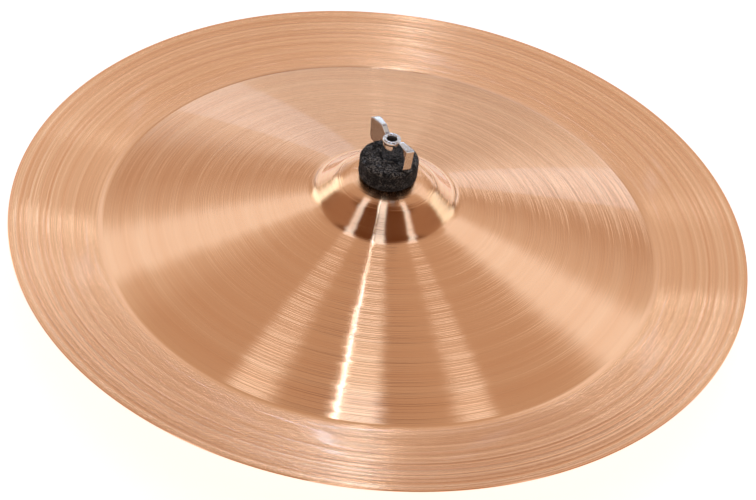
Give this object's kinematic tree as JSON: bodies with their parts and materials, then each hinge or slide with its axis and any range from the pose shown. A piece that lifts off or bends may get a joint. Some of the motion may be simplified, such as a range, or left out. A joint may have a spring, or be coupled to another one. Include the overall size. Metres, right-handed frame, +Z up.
{
  "type": "china cymbal",
  "caption": "Bell-up china cymbal with a conical bow and an upturned flange, held between felts on a threaded stud by a wing nut; it spins, rocks, and the nut unscrews.",
  "frame": {"origin": "centre of the lower end face of the threaded stud that holds the cymbal", "axes": "+Z up along the stud, through the cymbal's centre hole; -Y towards the viewer of the picture, +X to their right"},
  "size_m": [0.4572, 0.4572, 0.0887],
  "materials": {
    "bronze": "lathed cymbal bronze, fine concentric tonal grooves, clear coat",
    "felt": "pressed black wool felt",
    "chrome": "polished chrome plate",
    "zinc_steel": "bright zinc plated steel",
    "nylon": "moulded nylon"
  },
  "bodies": {
    "stud_stack": {"threaded_stud": "zinc_steel", "jam_nut": "zinc_steel", "cup_washer": "zinc_steel", "lower_felt": "felt"},
    "sleeve": {"sleeve": "nylon"},
    "cymbal": {"cymbal": "bronze"},
    "upper_felt": {"upper_felt": "felt"},
    "wing_nut": {"wing_nut": "chrome"}
  },
  "joints": [
    {"name": "sleeve_spin", "type": "hinge", "parent": "stud_stack", "child": "sleeve", "pos_m": [0, 0, 0.0572], "axis": [0, 0, 1], "continuous": true},
    {"name": "cymbal_rock", "type": "hinge", "parent": "sleeve", "child": "cymbal", "pos_m": [0, 0, 0.0572], "axis": [1, 0, 0], "range_deg": [-10, 10], "deforming": ["lower_felt", "upper_felt"]},
    {"name": "nut_rise", "type": "slide", "parent": "stud_stack", "child": "upper_felt", "axis": [0, 0, 1], "range_m": [0, 0.00438]},
    {"name": "nut_turn", "type": "hinge", "parent": "upper_felt", "child": "wing_nut", "pos_m": [0, 0, 0.0714], "axis": [0, 0, 1], "range_deg": [0, 1260]}
  ],
  "couplings": [
    {"joint": "nut_rise", "follows": "nut_turn", "m_per_rad": 0.00019894}
  ]
}
